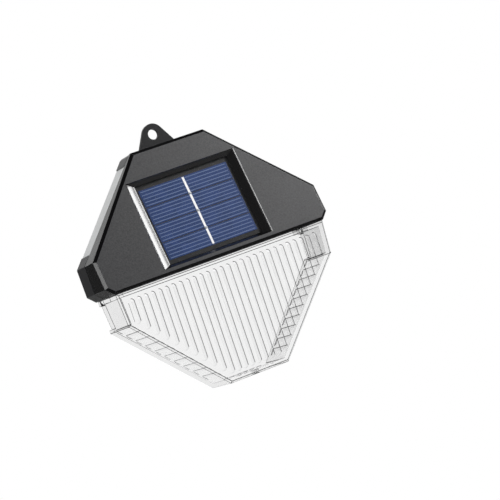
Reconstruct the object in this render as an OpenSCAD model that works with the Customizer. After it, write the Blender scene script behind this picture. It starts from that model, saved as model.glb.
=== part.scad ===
// Solar fence light with a black housing, an inclined solar panel and a clear fluted lens.
// X runs to the viewer's right, Z up, and the wall is the plane Y = 0 with the lamp in front of it.
// The origin is the middle of the hanging hole, on the wall plane.
// Below, "depth" is the distance out from the wall, and heights start at the housing's lower edge.

/* [Housing] */
// Width across the two side corners
body_w = 100; // [97:0.5:110]
// Height from the lower edge to the flat top
housing_h = 51.4; // [51:0.2:56]
// Width of the flat top
top_w = 32.6; // [31:0.2:38]
// Height of the upright side edge
side_h = 14.7; // [14:0.1:18]
// Chamfer at the two lower corners
corner_chamfer = 3; // [2:0.1:3.2]
// Depth at the lower edge
base_d = 27.9; // [27.7:0.1:31]
// Depth at the flat top
top_d = 15.2; // [15:0.1:18]
// Bevel round the front face
face_bevel = 1.2; // [0.6:0.1:1.6]
// Wall of the housing and of the rear cover
wall = 2; // [1.8:0.1:2.1]
// Thickness of the front face round the solar panel
face_t = 1.8; // [1.6:0.1:2]
// Depth of the front housing's side at the flat top
front_side = 3.4; // [3.2:0.1:3.8]
// Thickness of the seal in that joint
seal_t = 0.6; // [0.4:0.1:0.8]
// Distance that the seal lies in from the outer surface
seal_inset = 0.5; // [0.3:0.1:0.6]
// Radius of the rear cover's upper corners
cover_corner_r = 3; // [2:0.1:3.5]

/* [Hanging tab] */
// Diameter of the hanging hole
hole_dia = 4.4; // [3.5:0.1:5]
// Height of the hole above the flat top
hole_rise = 5.4; // [5:0.1:7]
// Radius of the tab's round end
tab_r = 4.5; // [4.2:0.1:5.5]
// Lean of the tab's two straight sides
tab_lean = 30; // [20:1:35]
// Thickness of the tab
tab_t = 2; // [1.6:0.1:2.4]

/* [Solar panel] */
// Distance across from the window's upper corners to the slanted sides
window_corner = 2.4; // [2.2:0.1:2.8]
// Distance from the lower edge to the window, up the slope
window_rise = 2.6; // [2.4:0.1:2.8]
// Distance from the window to the flat top, up the slope
window_head = 11.8; // [11.4:0.1:12.2]
// Width that the cove round the window takes on each side
cove_w = 2.6; // [2.2:0.1:2.8]
// Width that the cove takes above and below
cove_l = 1.7; // [1.5:0.1:1.9]
// Distance from the window's sides to the cells
cells_side = 4.6; // [4.4:0.1:6.4]
// Distance from the window's upper and lower edges to the cells
cells_head = 3.7; // [3.5:0.1:4.7]
// Number of cell strips
cell_count = 4; // [2:1:6]
// Gap between two strips
cell_gap = 0.35; // [0.2:0.05:0.6]
// Width of the bus bar
bus_w = 0.9; // [0.6:0.1:1.4]
// Thickness of the circuit board under the cells
solar_board_t = 1.2; // [1:0.1:1.3]

/* [Lens] */
// Distance that the lens stands in from the housing at each side
lens_inset = 3.2; // [3.1:0.1:4]
// Narrowing of the lens down its upright side
lens_taper = 0.9; // [0.5:0.1:1.5]
// Height of the lens's upright side
lens_side_h = 13.7; // [12.5:0.1:15]
// Height of the lens
lens_h = 48.7; // [46:0.1:52]
// Width of the lens's flat bottom
lens_bottom_w = 26.2; // [24:0.2:30]
// Distance that the lens stands back from the housing's front edge
lens_front_inset = 0.7; // [0.4:0.1:0.9]
// Distance that its front wall runs back towards the bottom
lens_lean = 3.6; // [2.2:0.1:4.2]
// Side wall of the lens
lens_wall = 1.8; // [1.5:0.1:2]
// Front wall of the lens
lens_face_t = 2; // [1.8:0.1:2.2]
// Edge bevel of the lens
lens_bevel = 0.8; // [0.5:0.1:1]
// Spacing of the flutes
flute_pitch = 3.05; // [2.9:0.05:3.1]
// Number of flutes inside the front wall
flute_count = 28; // [20:2:28]
// Depth of a flute
flute_depth = 0.45; // [0.3:0.05:0.6]
// Distance from the housing to the round heads of the flutes
flute_head = 3.7; // [3.4:0.1:5]
// Height of the plain band along the bottom
flute_low = 3.3; // [3:0.1:4]

/* [Battery] */
// Room between the battery and the solar panel
battery_room = 1.9; // [1.7:0.1:3]
// Distance from each side corner of the housing to the battery
battery_side = 24.75; // [24.25:0.25:25.5]

/* [Button] */
// Diameter of the push button
button_dia = 9.5; // [8:0.1:9.8]
// Travel of the push button
button_travel = 1.2; // [0.8:0.1:1.4]
// Depth of the round well that the button lies in
well_depth = 3; // [2.6:0.1:3]

/* [Hidden] */

$fn = 48;
// Overrun of every cut past the face it opens
over = 1;
// Depth by which joined shapes of one piece sink into each other
sink = 0.2;
// Clearance between fixed pieces
fit = 0.1;
// Radial clearance of pieces that slide in a bore
slide_fit = 0.08;

// Front face: a plane that leans back by the tilt
hole_z = housing_h + hole_rise;
face_slope = (base_d - top_d) / housing_h;
tilt = atan(face_slope);
face_k = 1 / cos(tilt);
function face_depth(z) = base_d - face_slope * z;

// Joint between the two shells
joint_front = top_d - front_side;
cover_d = joint_front - seal_t;
lip_gap = 0.15;
lip_t = 1.2;
lip_reach = 1.6;
lip_root = 3;

// Four screws hold the two shells together
screw_r = 1.1;
screw_tip_gap = 2.5;
screw_head_r = 2.2;
screw_head_h = 1.6;
screw_head_sink = 0.8;
boss_r = 2.8;
boss_start = 4;
seat_r = 3.4;
boss_side_inset = 9;
boss_low_z = 9;
boss_top_x = 11;
boss_top_drop = 6.4;
screw_end_d = face_depth(housing_h - boss_top_drop) - face_t * face_k - screw_tip_gap;
screw_l = screw_end_d - screw_head_sink - screw_head_h;
boss_places = [
    [body_w / 2 - boss_side_inset, boss_low_z],
    [boss_side_inset - body_w / 2, boss_low_z],
    [boss_top_x, housing_h - boss_top_drop],
    [-boss_top_x, housing_h - boss_top_drop]
];

// Solar panel stack, measured inwards from the front face
window_drop = window_head * cos(tilt);
window_w = top_w + (body_w - top_w) * window_drop / (housing_h - side_h) - 2 * window_corner;
window_l = housing_h * face_k - window_rise - window_head;
cells_w = window_w - 2 * cells_side;
cells_l = window_l - 2 * cells_head;
panel_mid = window_rise + window_l / 2;
pane_w = window_w - 2 * cove_w;
pane_l = window_l - 2 * cove_l;
panel_lap = 1;
panel_w = pane_w + 2 * panel_lap;
panel_l = pane_l + 2 * panel_lap;
adhesive_t = 0.3;
adhesive_lap = 0.8;
laminate_t = 0.6;
cell_t = 0.2;
bus_t = 0.1;
laminate_top = face_t + adhesive_t;
panel_top = laminate_top + laminate_t;
panel_back = panel_top + solar_board_t;
cell_l = (cells_l - (cell_count - 1) * cell_gap) / cell_count;
bus_l = cells_l - 2 * cell_gap;
rim_t = 1;
rim_gap = 0.2;
rim_back = panel_back + 0.4 * face_t - rim_gap;
cove_steps = 5;

// Snap tongues and prongs of the lens, which pass through slots of the two shells
lens_top_d = base_d - lens_front_inset;
lens_half = body_w / 2 - lens_inset;
tongue_x = 10;
tongue_w = 10;
tongue_t = 1.4;
tongue_back = 4.6;
tongue_rise = 1.6;
barb = 0.6;
tongue_back_d = lens_top_d - lens_face_t - tongue_back + barb;
barb_h = 0.8;
slot_gap = 0.2;
prong_w = 1.3;
prong_side = 0.4;
prong_x = lens_half - lens_wall + prong_side - sink;
prong_d = 2.6;
prong_t = 1.2;
hook_h = 2.2;
hook_end_d = 0.6;

// Light window, circuit board and lamps over the housing floor
led_slot_side = 22;
led_window_gap = 0.2;
window_flange = 0.6;
window_flange_t = 0.8;
led_slot_w = body_w - 2 * led_slot_side;
led_slot_d0 = joint_front + led_window_gap + window_flange;
led_slot_d1 = tongue_back_d - barb - led_window_gap - window_flange;
led_mid_d = (led_slot_d0 + led_slot_d1) / 2;
led_count = 6;
led_end = 3.75;
led_w = 3.5;
led_pitch = (led_slot_w - led_w - 2 * led_end) / (led_count - 1);
led_d = 2.8;
led_h = 1.9;
led_gap = 0.1;
led_board_side = 14;
led_board_w = body_w - 2 * led_board_side;
led_board_d = 6;
led_board_t = 1.2;
led_board_z = wall + window_flange_t + led_gap + led_h;
standoff_end = 3;
standoff_x = led_board_w / 2 - standoff_end;
standoff_r = 2;
lip_low_gap = 0.5;
lip_low_cut = led_board_w / 2 + lip_low_gap;
small_screw_r = 0.8;
small_head_r = 1.7;
small_head_h = 1.1;
small_screw_l = 4;

// Battery tray on the rear wall
contact_t = 0.4;
contact_share = 0.62;
contact_tab_w = 3;
contact_tab_rise = 1.5;
dimple_r = 2;
dimple_h = 0.6;
nub_r = 2.75;
nub_h = 1;
spring_l = 3.6;
spring_turns = 3;
spring_wire = 0.7;
spring_r0 = 4;
spring_r1 = 2.6;
saddle_gap = 0.1;
tray_floor = 1.4;
tray_rail = 1.2;
tray_end = 1.5;
tray_gap = 0.3;
tray_rail_drop = 1.75;
tray_end_over = 3.25;
ear_w = 5.2;
ear_l = 4.9;
ear_t = 1.5;
ear_d = 5;
ear_post_r = 2.2;
tray_z = led_board_z + led_board_t + tray_gap;
battery_low = tray_z + tray_rail + saddle_gap;
battery_back = wall + tray_floor + saddle_gap;
battery_r = ((base_d - battery_back) * cos(tilt) - panel_back - battery_room - battery_low * sin(tilt))
    / (1 + cos(tilt) + sin(tilt));
battery_l = body_w - 2 * battery_side;
saddle_r = battery_r + saddle_gap;
battery_d = battery_back + battery_r;
battery_z = battery_low + battery_r;
tray_rail_d = battery_d - tray_rail_drop;
tray_end_d = battery_d + tray_end_over;
contact_w = 2 * battery_r * contact_share;
tray_l = battery_l + dimple_h + 2 * contact_t + spring_l;
tray_half = saddle_r + tray_rail;
tray_top = battery_z + tray_half;
ear_x = tray_l / 2 + tray_end + ear_l / 2;
battery_x1 = tray_l / 2 - contact_t - dimple_h;
battery_x0 = battery_x1 - battery_l;
tab_d = battery_d;

// Control board on two posts of the rear cover
board_w = 40;
board_t = 1.2;
board_gap = 1.6;
board_head_gap = 2.2;
board_room = 1.2;
board_z = tray_top + board_gap;
board_top = housing_h - boss_top_drop - boss_r - board_head_gap;
board_h = board_top - board_z;
board_d = face_depth(board_top) - rim_back * face_k - board_room - board_t;
post_end = 4.5;
post_x = board_w / 2 - post_end;
post_rise_share = 0.8;
post_z = board_z + board_h * post_rise_share;
post_r = 2.4;

// Push switch and its button, in line with the well
switch_w = 8;
switch_gap = 0.5;
plunger_r = 1.6;
plunger_depth = 1.5;
button_r = button_dia / 2;
flange_over = 1.5;
flange_t = 0.8;
button_proud = 2.3;
button_edge = 0.6;
well_room = 1.5;
well_gap = 0.3;
well_floor = 1.6;
well_wall = 1.2;
flange_gap = 0.1;
well_r = button_r + well_room;
well_back = well_depth + well_floor;
flange_d = well_back + flange_gap;
switch_z = tray_top + well_gap + well_wall + well_r;
switch_h = board_d - flange_d - flange_t - button_travel - switch_gap;

// Small parts on the control board, placed by shares of its width and height
chip_size = [3.9, 4.9, 1.5];
chip_shares = [0.28, 0.75];
lead_w = 0.5;
lead_out = 1;
lead_t = 0.3;
lead_pitch = 1.27;
coil_r = 1.2;
coil_l = 6;
coil_shares = [0.24, 0.2];
coil_wire = 0.25;
cap_r = 2.5;
cap_h = 7;
cap_foot = 0.4;
cap_shares = [0.75, 0.25];
chip_r_size = [2, 1.25, 0.55];
chip_r_x_share = 0.644;
chip_r_z_shares = [0.25, 0.5, 0.75];
side_led_size = [1.2, 3, 1.5];
side_led_inset = 0.2;
side_led_drop = 2;

// Pale windows in the slanted sides of the rear cover
side_window_end = 5.3;
side_window_sink = 0.3;
side_window_t = 1.7;
side_flange_t = 0.9;
side_flange_lap = 1.6;

// Lens
lens_bottom_d = lens_top_d - lens_lean;
lens_slope = -lens_lean / lens_h;
lens_tilt = atan(lens_slope);
lens_k = 1 / cos(lens_tilt);
function lens_depth(z) = lens_top_d - lens_slope * z;
lens_flange = 5;
lens_side_flange = 3;
lens_rear_gap = 3.8;
lens_rear_gap_h = 12.4;
flute_w = flute_pitch * 0.87;
flute_end_d = 3;
function flute_r(w) = (w * w / 4 + flute_depth * flute_depth) / (2 * flute_depth);
drain_w = 2.2;
drain_l = 3;
drain_back = 2.1;

// Leads
lead_dia = 1.1;
lead_sides = 8;
lead_rings = 12;
panel_lead_x = 6;

// General shapes

function unit(v) = v / norm(v);

// Corner b of a counter-clockwise outline, moved in by i from both of its edges
function moved_in(a, b, c, i) =
    let(e = unit(b - a), f = unit(c - b), m = [-e[1], e[0]], n = [-f[1], f[0]])
    b + (m + n) * i / (1 + m * n);

function inset(pts, i) = [
    for (k = [0:len(pts) - 1])
        moved_in(pts[(k + len(pts) - 1) % len(pts)], pts[k], pts[(k + 1) % len(pts)], i)
];

// Closed ring of an outline on the upright plane at one depth
function flat_ring(pts, d) = [for (p = pts) [p[0], -d, p[1]]];

// Closed ring of an outline on the front face, moved in by i
function face_ring(pts, i) = [for (p = pts) [p[0], i * face_k - face_depth(p[1]), p[1]]];

function lens_ring(pts, i) = [for (p = pts) [p[0], i * lens_k - lens_depth(p[1]), p[1]]];

// Solid through a row of rings with equal numbers of points, from the back to the front
module loft(rings) {
    n = len(rings[0]);
    last = len(rings) - 1;
    polyhedron(
        points = [for (r = rings) each r],
        faces = [
            [for (k = [0:n - 1]) k],
            [for (k = [n - 1:-1:0]) last * n + k],
            for (r = [0:last - 1]) for (k = [0:n - 1])
                [r * n + k, r * n + n + k, r * n + n + (k + 1) % n, r * n + (k + 1) % n]
        ]
    );
}

// The lamp is drawn with its lower edge at Z = 0 and then hung from the hole
module lamp() {
    translate([0, 0, -hole_z]) children();
}

// Flat shape in X and Z, drawn out from depth d0 to depth d1
module slab(d0, d1) {
    translate([0, -d0, 0]) rotate([90, 0, 0]) linear_extrude(d1 - d0) children();
}

// Round bar along the depth
module bar(x, z, d0, d1, r) {
    translate([x, -d0, z]) rotate([90, 0, 0]) cylinder(h = d1 - d0, r = r);
}

// Block between two corners given as x, depth and z
module block(a, b) {
    translate([a[0], -b[1], a[2]]) cube([b[0] - a[0], b[1] - a[1], b[2] - a[2]]);
}

// Frame of the front face: X across, Y up the slope, Z out of the face
module on_face() {
    translate([0, -base_d, 0]) rotate([90 - tilt, 0, 0]) children();
}

module on_lens_face() {
    translate([0, -lens_top_d, 0]) rotate([90 - lens_tilt, 0, 0]) children();
}

// Flat plate on the front face, centred on the panel, from depth a to depth b under the face
module plate(w, l, a, b) {
    translate([-w / 2, panel_mid - l / 2, -b]) cube([w, l, b - a]);
}

// Pan head screw whose head starts at depth d and whose shank runs on from there
module screw(x, z, d, head_r, head_h, shank_r, shank_l, out) {
    flip = out ? 1 : 0;
    translate([x, -d, z]) rotate([90, 0, 0]) mirror([0, 0, flip]) difference() {
        rotate_extrude() polygon([
            [0, 0],
            [head_r, 0],
            [head_r, head_h],
            [shank_r, head_h],
            [shank_r, head_h + shank_l - shank_r],
            [shank_r / 3, head_h + shank_l],
            [0, head_h + shank_l]
        ]);
        for (a = [0, 90]) rotate([0, 0, a])
            translate([-head_r / 2, -head_r / 9, -head_h / 2]) cube([head_r, head_r * 2 / 9, head_h]);
    }
}

// Point at share t of a smooth curve with two handles
function curve(p, t) =
    p[0] * pow(1 - t, 3) + 3 * p[1] * pow(1 - t, 2) * t + 3 * p[2] * (1 - t) * t * t + p[3] * pow(t, 3);

// Sideways directions along a list of tangents, carried on from the first without a twist
function carried(tangents, u, k = 0) =
    k == len(tangents) ? [] :
    let(v = unit(u - (u * tangents[k]) * tangents[k])) concat([v], carried(tangents, v, k + 1));

// Round tube through a list of points, square to its ends, that doesn't start along x
module tube(pts, tan0, tan1, r, sides) {
    n = len(pts);
    tangents = [for (k = [0:n - 1]) k == 0 ? tan0 : k == n - 1 ? tan1 : unit(pts[k + 1] - pts[k - 1])];
    sideways = carried(tangents, [1, 0, 0]);
    points = [
        for (k = [0:n - 1])
            let(u = sideways[k], v = cross(tangents[k], u))
            for (s = [0:sides - 1]) pts[k] + r * (cos(360 * s / sides) * u + sin(360 * s / sides) * v)
    ];
    polyhedron(
        points = points,
        faces = [
            [for (s = [0:sides - 1]) s],
            [for (s = [sides - 1:-1:0]) (n - 1) * sides + s],
            for (k = [0:n - 2]) for (s = [0:sides - 1]) for (half = [0, 1])
                let(a = k * sides + s, b = k * sides + (s + 1) % sides)
                half == 0 ? [a, a + sides, b + sides] : [a, b + sides, b]
        ]
    );
}

// Lead from point a to point b, each given as x, depth and z, leaving and arriving along da and db
module lead(a, da, b, db) {
    p0 = [a[0], -a[1], a[2]];
    p3 = [b[0], -b[1], b[2]];
    h = [p0, p0 + da, p3 - db, p3];
    route = [for (k = [0:lead_rings]) curve(h, k / lead_rings)];
    tube(route, unit(da), unit(db), lead_dia / 2, lead_sides);
}

// Outlines, counter-clockwise as seen from the front

housing_outline = [
    [corner_chamfer - body_w / 2, 0], [body_w / 2 - corner_chamfer, 0], [body_w / 2, corner_chamfer],
    [body_w / 2, side_h], [top_w / 2, housing_h], [-top_w / 2, housing_h], [-body_w / 2, side_h],
    [-body_w / 2, corner_chamfer]
];

lens_outline = [
    [-lens_bottom_w / 2, -lens_h], [lens_bottom_w / 2, -lens_h], [lens_half - lens_taper, -lens_side_h],
    [lens_half, 0], [-lens_half, 0], [lens_taper - lens_half, -lens_side_h]
];

// The slanted side of the housing, from its lower to its upper corner
slant_low = [body_w / 2, side_h];
slant_high = [top_w / 2, housing_h];
slant_l = norm(slant_high - slant_low);
slant_angle = atan2(slant_high[1] - slant_low[1], slant_high[0] - slant_low[0]);

// Frame along the right slanted side: X up the slope, Y into the lamp, Z out from the wall
module on_slant() {
    translate([slant_low[0], 0, slant_low[1]]) rotate([90, 0, 0]) rotate([0, 0, slant_angle]) children();
}

module both_sides() {
    children();
    mirror([1, 0, 0]) children();
}

// Housing

module window_cut() {
    corners = [[-1, -1], [1, -1], [1, 1], [-1, 1]];
    rings = [
        for (k = [0:cove_steps])
            let(
                s = 1 - sin(90 * k / cove_steps),
                c = 1 - cos(90 * k / cove_steps)
            )
            [for (q = corners)
                [q[0] * (pane_w / 2 + cove_w * (1 - s)), panel_mid + q[1] * (pane_l / 2 + cove_l * (1 - s)),
                 face_t * (c - 1)]]
    ];
    bottom = [for (q = corners) [q[0] * pane_w / 2, panel_mid + q[1] * pane_l / 2, -panel_top]];
    top = [for (q = corners) [q[0] * window_w / 2, panel_mid + q[1] * window_l / 2, over]];
    loft(concat([bottom], rings, [top]));
}

module front_shell() {
    difference() {
        loft([
            flat_ring(housing_outline, joint_front),
            face_ring(housing_outline, face_bevel),
            face_ring(inset(housing_outline, face_bevel), 0)
        ]);
        loft([
            flat_ring(inset(housing_outline, wall), joint_front - over),
            face_ring(inset(housing_outline, wall), face_t)
        ]);
    }
}

// Room inside the front housing, grown by half of its wall
module front_room() {
    loft([
        flat_ring(inset(housing_outline, wall / 2), 0),
        face_ring(inset(housing_outline, wall / 2), face_t / 2)
    ]);
}

module front_housing() {
    color("#2e2f31") lamp() difference() {
        union() {
            front_shell();
            intersection() {
                front_room();
                union() {
                    for (p = boss_places) bar(p[0], p[1], boss_start, base_d, boss_r);
                    both_sides() translate([standoff_x, -led_mid_d, wall - sink])
                        cylinder(h = led_board_z - wall + sink, r = standoff_r);
                    on_face() difference() {
                        plate(panel_w + 2 * (rim_gap + rim_t), panel_l + 2 * (rim_gap + rim_t),
                            face_t - sink, rim_back);
                        plate(panel_w + 2 * rim_gap, panel_l + 2 * rim_gap, face_t, rim_back + over);
                    }
                }
            }
        }
        on_face() window_cut();
        for (p = boss_places)
            bar(p[0], p[1], boss_start - over, screw_end_d + over / 2, screw_r + fit / 2);
        block([-led_slot_w / 2, led_slot_d0, -over], [led_slot_w / 2, led_slot_d1, wall + over / 2]);
        both_sides() {
            translate([standoff_x, -led_mid_d, wall])
                cylinder(h = led_board_z, r = small_screw_r + fit / 2);
            block([tongue_x - tongue_w / 2 - slot_gap, tongue_back_d - slot_gap, -over],
                [tongue_x + tongue_w / 2 + slot_gap, tongue_back_d + tongue_t + slot_gap, wall + sink]);
        }
    }
}

// Outline of the rear cover with its two rounded upper corners
module cover_shape() {
    r = cover_corner_r;
    centre = inset(housing_outline, r)[4];
    difference() {
        polygon(housing_outline);
        for (s = [0, 1]) mirror([s, 0]) difference() {
            polygon([
                centre, centre + [0, 2 * r], centre + [2 * r, 2 * r],
                centre + 2 * r * [sin(slant_angle), -cos(slant_angle)]
            ]);
            translate(centre) circle(r = r);
        }
    }
}

module tab_shape() {
    reach = hole_rise + wall;
    side_x = tab_r * cos(tab_lean);
    side_z = tab_r * sin(tab_lean);
    foot = side_x + (reach + side_z) * tan(tab_lean);
    translate([0, hole_z]) {
        circle(r = tab_r);
        polygon([[-side_x, side_z], [-foot, -reach], [foot, -reach], [side_x, side_z]]);
    }
}

// Notch for the side window through the slanted wall and the lip inside it, grown by g
module side_notch(g) {
    l = slant_l - 2 * side_window_end + 2 * g;
    on_slant() {
        translate([side_window_end - g, -over, -over]) cube([l, wall + over, cover_d + 2 * over]);
        translate([side_window_end - g, wall - sink, cover_d - lip_root - over])
            cube([l, lip_gap + lip_t + over, lip_root + seal_t + lip_reach + 2 * over]);
    }
}

module rear_cover() {
    color("#3a3b3d") lamp() difference() {
        union() {
            difference() {
                slab(0, cover_d) cover_shape();
                slab(wall, cover_d + over) polygon(inset(housing_outline, wall));
            }
            slab(0, tab_t) tab_shape();
            difference() {
                union() {
                    slab(cover_d - lip_root, cover_d)
                        polygon(inset(housing_outline, wall - sink));
                    slab(cover_d - sink, joint_front + lip_reach)
                        polygon(inset(housing_outline, wall + lip_gap));
                }
                slab(cover_d - lip_root - over, joint_front + lip_reach + over)
                    polygon(inset(housing_outline, wall + lip_gap + lip_t));
                block([-lip_low_cut, cover_d - lip_root - over, wall],
                    [lip_low_cut, joint_front + lip_reach + over, led_board_z]);
            }
            for (p = boss_places) bar(p[0], p[1], wall - sink, boss_start, seat_r);
            bar(0, switch_z, wall - sink, well_back, well_r + well_wall);
            both_sides() {
                bar(ear_x, battery_z, wall - sink, ear_d, ear_post_r);
                bar(post_x, post_z, wall - sink, board_d, post_r);
            }
        }
        bar(0, hole_z, -over, tab_t + over, hole_dia / 2);
        for (p = boss_places) {
            bar(p[0], p[1], -over, screw_head_sink + screw_head_h, screw_head_r + 2 * fit);
            bar(p[0], p[1], 0, boss_start + over, screw_r + 2 * fit);
        }
        bar(0, switch_z, -over, well_depth, well_r);
        bar(0, switch_z, 0, well_back + over, button_r + slide_fit);
        both_sides() {
            side_notch(fit);
            bar(ear_x, battery_z, wall, ear_d + over, small_screw_r + fit / 2);
            bar(post_x, post_z, board_d - small_screw_l, board_d + over,
                small_screw_r + fit / 2);
            block([prong_x - slot_gap, prong_d - slot_gap, -over],
                [prong_x + prong_w + slot_gap, prong_d + prong_t + slot_gap, wall + over / 2]);
        }
    }
}

// Flat ring of rubber between the rims of the two shells
module housing_seal() {
    color("#1a1a1c") lamp() slab(cover_d, joint_front) difference() {
        polygon(inset(housing_outline, seal_inset));
        polygon(inset(housing_outline, wall));
    }
}

module housing_screws() {
    color("#b8bbbf") lamp() for (p = boss_places)
        screw(p[0], p[1], screw_head_sink, screw_head_r, screw_head_h, screw_r, screw_l, false);
}

// Pale strip with an inner flange at each end, held behind the rear cover's wall
module side_window() {
    l = slant_l - 2 * side_window_end;
    on_slant() {
        translate([side_window_end, side_window_sink, 0])
            cube([l, wall - side_window_sink, cover_d]);
        difference() {
            translate([side_window_end - side_flange_lap, wall, wall])
                cube([l + 2 * side_flange_lap, side_flange_t, cover_d - lip_root - fit - wall]);
            translate([side_window_end, wall + side_flange_t, 0]) cube([l, over, over]);
        }
    }
}

module side_window_right() {
    color("#d9dde0", 0.7) lamp() side_window();
}

module side_window_left() {
    color("#d9dde0", 0.7) lamp() mirror([1, 0, 0]) side_window();
}

// Solar panel

module panel_adhesive() {
    color("#202022") lamp() on_face() difference() {
        plate(panel_w, panel_l, face_t, laminate_top);
        plate(panel_w - 2 * adhesive_lap, panel_l - 2 * adhesive_lap, 0, panel_top);
    }
}

// Place of cell strip k, with g added all round
module cell_strip(k, g, top) {
    z = panel_mid - cells_l / 2 + k * (cell_l + cell_gap);
    translate([-cells_w / 2 - g, z - g, -panel_top])
        cube([cells_w + 2 * g, cell_l + 2 * g, top + g]);
}

module bus_strip(g) {
    translate([-bus_w / 2 - g, panel_mid - bus_l / 2 - g, cell_t - panel_top])
        cube([bus_w + 2 * g, bus_l + 2 * g, bus_t + g]);
}

module panel_cover() {
    g = laminate_t / 30;
    color("#8fa4c8", 0.4) lamp() on_face() difference() {
        plate(panel_w, panel_l, laminate_top, panel_top);
        translate([-cells_w / 2 - g, panel_mid - cells_l / 2 - g, -panel_top - over])
            cube([cells_w + 2 * g, cells_l + 2 * g, cell_t + g + over]);
        bus_strip(g);
    }
}

module solar_cells() {
    color("#2f4a96") lamp() on_face() for (k = [0:cell_count - 1]) cell_strip(k, 0, cell_t);
}

module bus_bars() {
    color("#e8eaec") lamp() on_face() bus_strip(0);
}

module solar_board() {
    color("#33312e") lamp() on_face() plate(panel_w, panel_l, panel_top, panel_back);
}

// Lens

// Place across the front wall of flute k
function flute_x(k) = (k - (flute_count - 1) / 2) * flute_pitch;

// Height of the lower end's centre, for the front wall's flute at x, over a slanted wall from p up to q
function flute_end(x, p, q) =
    let(step = unit(q - p), clear = flute_r(flute_w) + fit)
    max(p[1] + (abs(x) - p[0]) * step[1] / step[0] + clear / step[0], -lens_h + flute_low + flute_w / 2);

module front_flutes(p, q) {
    r = flute_r(flute_w);
    top = -flute_head - flute_w / 2;
    on_lens_face() for (k = [0:flute_count - 1]) {
        low = flute_end(flute_x(k), p, q) * lens_k;
        translate([flute_x(k), top, flute_depth - r - lens_face_t]) {
            sphere(r = r, $fn = 48);
            rotate([90, 0, 0]) cylinder(h = top - low, r = r, $fn = 48);
            translate([0, low - top, 0]) sphere(r = r, $fn = 48);
        }
    }
}

// Flute along the depth of a wall, of width w about point p, where inward points off that wall
module depth_flute(p, inward, w) {
    r = flute_r(w);
    at = p + inward * (r - flute_depth);
    l = lens_depth(at[1]) - (lens_face_t + r + fit) * lens_k - flute_end_d;
    translate([at[0], -flute_end_d, at[1]]) rotate([90, 0, 0]) {
        cylinder(h = l, r = r, $fn = 48);
        translate([0, 0, l]) sphere(r = r, $fn = 48);
    }
}

// Flutes inside one half of the slanted and bottom walls, each in line with one of the front wall's
module depth_flutes(p, q) {
    step = unit(q - p);
    inward = [-step[1], step[0]];
    for (k = [flute_count / 2:flute_count - 1])
        let(x = flute_x(k), low = flute_end(x, p, q), foot = [x, low] - inward * (flute_r(flute_w) + fit))
            if (foot[0] > p[0] + flute_w / 2)
                depth_flute(foot, inward, flute_w * 1.2);
            else if (x + flute_r(flute_w) < p[0])
                depth_flute([x, p[1]], [0, 1], flute_w);
}

module lens() {
    inner = inset(lens_outline, lens_wall);
    color("#e6ebee", 0.45) lamp() {
        difference() {
            loft([
                flat_ring(lens_outline, 0),
                lens_ring(lens_outline, lens_bevel),
                lens_ring(inset(lens_outline, lens_bevel), 0)
            ]);
            loft([flat_ring(inner, -over), lens_ring(inner, lens_face_t)]);
            front_flutes(inner[1], inner[2]);
            both_sides() depth_flutes(inner[1], inner[2]);
            block([lens_wall + lens_side_flange - lens_half, -over, -lens_wall - sink],
                [lens_half - lens_wall - lens_side_flange, lens_top_d - lens_face_t - lens_flange, over]);
            both_sides() block([lens_half - lens_wall - lens_side_flange, -over, -lens_rear_gap_h],
                [lens_half + over, lens_rear_gap, over]);
            block([-drain_w / 2, lens_bottom_d - lens_face_t - drain_back - drain_l, -lens_h - over],
                [drain_w / 2, lens_bottom_d - lens_face_t - drain_back, -lens_h + lens_wall + over / 2]);
        }
        both_sides() {
            block([tongue_x - tongue_w / 2, tongue_back_d, -sink],
                [tongue_x + tongue_w / 2, tongue_back_d + tongue_t, wall + tongue_rise]);
            block([tongue_x - tongue_w / 2, tongue_back_d - barb, wall + fit],
                [tongue_x + tongue_w / 2, tongue_back_d + sink, wall + fit + barb_h]);
            block([prong_x, hook_end_d, -hook_h], [prong_x + prong_w, lens_rear_gap + sink, -fit]);
            block([prong_x, prong_d, -hook_h], [prong_x + prong_w, prong_d + prong_t, wall + tongue_rise]);
            block([prong_x, prong_d + prong_t - sink, wall + fit],
                [prong_x + prong_w - 2 * slot_gap, prong_d + prong_t + barb, wall + fit + barb_h]);
        }
    }
}

// Clear pane that closes the slot in the housing floor under the lamps
module light_window() {
    w = led_slot_w / 2;
    color("#e6ebee", 0.45) lamp() {
        block([fit - w, led_slot_d0 + fit, 0], [w - fit, led_slot_d1 - fit, wall + sink]);
        block([-w - window_flange, led_slot_d0 - window_flange, wall],
            [w + window_flange, led_slot_d1 + window_flange, wall + window_flange_t]);
    }
}

// Battery

module battery_tray() {
    color("#e4e4e0") lamp() difference() {
        union() {
            block([-tray_l / 2 - tray_end, wall, tray_z],
                [tray_l / 2 + tray_end, tray_rail_d, tray_top]);
            both_sides() {
                block([tray_l / 2, wall, tray_z],
                    [tray_l / 2 + tray_end, tray_end_d, tray_top]);
                block([tray_l / 2, ear_d, battery_z - ear_w / 2],
                    [tray_l / 2 + tray_end + ear_l, ear_d + ear_t, battery_z + ear_w / 2]);
            }
        }
        translate([-tray_l / 2, -battery_d, battery_z]) rotate([0, 90, 0])
            cylinder(h = tray_l, r = saddle_r);
        both_sides() bar(ear_x, battery_z, ear_d - over, ear_d + ear_t + over, small_screw_r + fit);
    }
}

module battery_cell() {
    color("#2f7d4a") lamp() translate([battery_x0, -battery_d, battery_z]) rotate([0, 90, 0]) {
        cylinder(h = battery_l - nub_h, r = battery_r);
        cylinder(h = battery_l, r = nub_r);
    }
}

// Sheet metal plate against one end of the tray, with a solder tab above it
module contact_plate(x) {
    block([x, battery_d - contact_w / 2, battery_z - contact_w / 2],
        [x + contact_t, tray_end_d - fit, battery_z + contact_w / 2]);
    block([x, tab_d - contact_tab_w / 2, battery_z],
        [x + contact_t, tab_d + contact_tab_w / 2, tray_top + contact_tab_rise]);
}

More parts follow.
